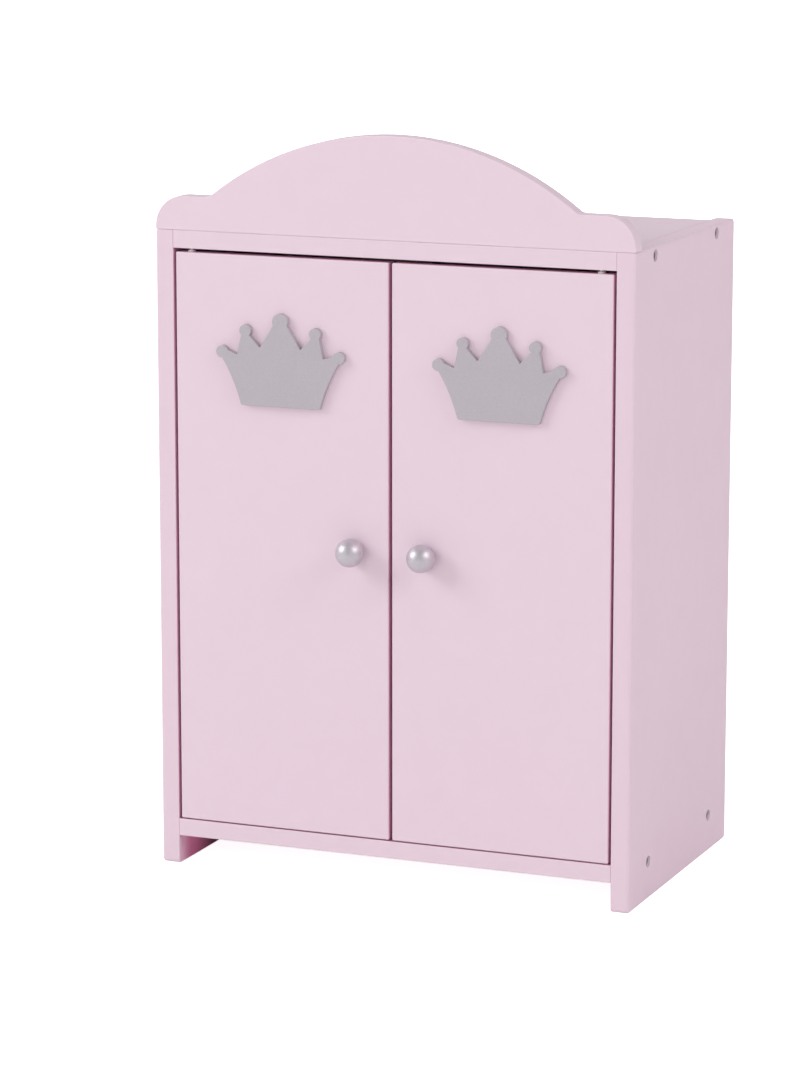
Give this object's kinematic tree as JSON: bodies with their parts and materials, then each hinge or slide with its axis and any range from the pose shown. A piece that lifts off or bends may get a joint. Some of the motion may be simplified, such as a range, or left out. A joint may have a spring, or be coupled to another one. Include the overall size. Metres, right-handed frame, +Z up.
{
  "type": "dolls house wardrobe",
  "caption": "Miniature wardrobe with two flush pin-hinged doors, ball knobs, crown plates, an arched pediment and a clothes rail inside.",
  "frame": {"origin": "on the floor, at the middle of the wardrobe's whole width and depth, knobs included", "axes": "+Z up, +X to the right as seen from the front, and the doors face -Y"},
  "size_m": [0.345, 0.229, 0.515],
  "materials": {
    "pink_paint": "satin pink paint over fibreboard",
    "silver_paint": "matt silver-grey paint over wood",
    "beech": "bare sanded beech",
    "steel": "bright zinc plated",
    "black_steel": "black phosphated screws",
    "nylon": "natural nylon",
    "catch_plastic": "dark brown moulded plastic",
    "magnet": "dark sintered ferrite"
  },
  "bodies": {
    "cabinet": {"left_side_panel": "pink_paint", "right_side_panel": "pink_paint", "top_panel": "pink_paint", "bottom_panel": "pink_paint", "back_panel": "pink_paint", "pediment": "pink_paint", "clothes_rail": "beech", "left_panel_screws": "black_steel", "right_panel_screws": "black_steel", "panel_dowels": "beech", "pediment_screws": "steel", "pediment_dowels": "beech", "back_panel_nails": "steel", "catch_housing": "catch_plastic", "catch_magnets": "magnet", "catch_pole_plates": "steel", "catch_screws": "steel", "lower_washers": "steel"},
    "left_door": {"left_door_panel": "pink_paint", "left_crown": "silver_paint", "left_knob": "silver_paint", "left_knob_screw": "steel", "left_upper_pivot_pin": "steel", "left_lower_pivot_pin": "steel", "left_upper_washer": "nylon", "left_strike_plate": "steel", "left_strike_screw": "steel"},
    "right_door": {"right_door_panel": "pink_paint", "right_crown": "silver_paint", "right_knob": "silver_paint", "right_knob_screw": "steel", "right_upper_pivot_pin": "steel", "right_lower_pivot_pin": "steel", "right_upper_washer": "nylon", "right_strike_plate": "steel", "right_strike_screw": "steel"}
  },
  "joints": [
    {"name": "left_door_hinge", "type": "hinge", "parent": "cabinet", "child": "left_door", "pos_m": [-0.1475, -0.09055, 0.0333], "axis": [0, 0, -1], "range_deg": [0, 130]},
    {"name": "right_door_hinge", "type": "hinge", "parent": "cabinet", "child": "right_door", "pos_m": [0.1475, -0.09055, 0.0333], "axis": [0, 0, 1], "range_deg": [0, 130]}
  ]
}
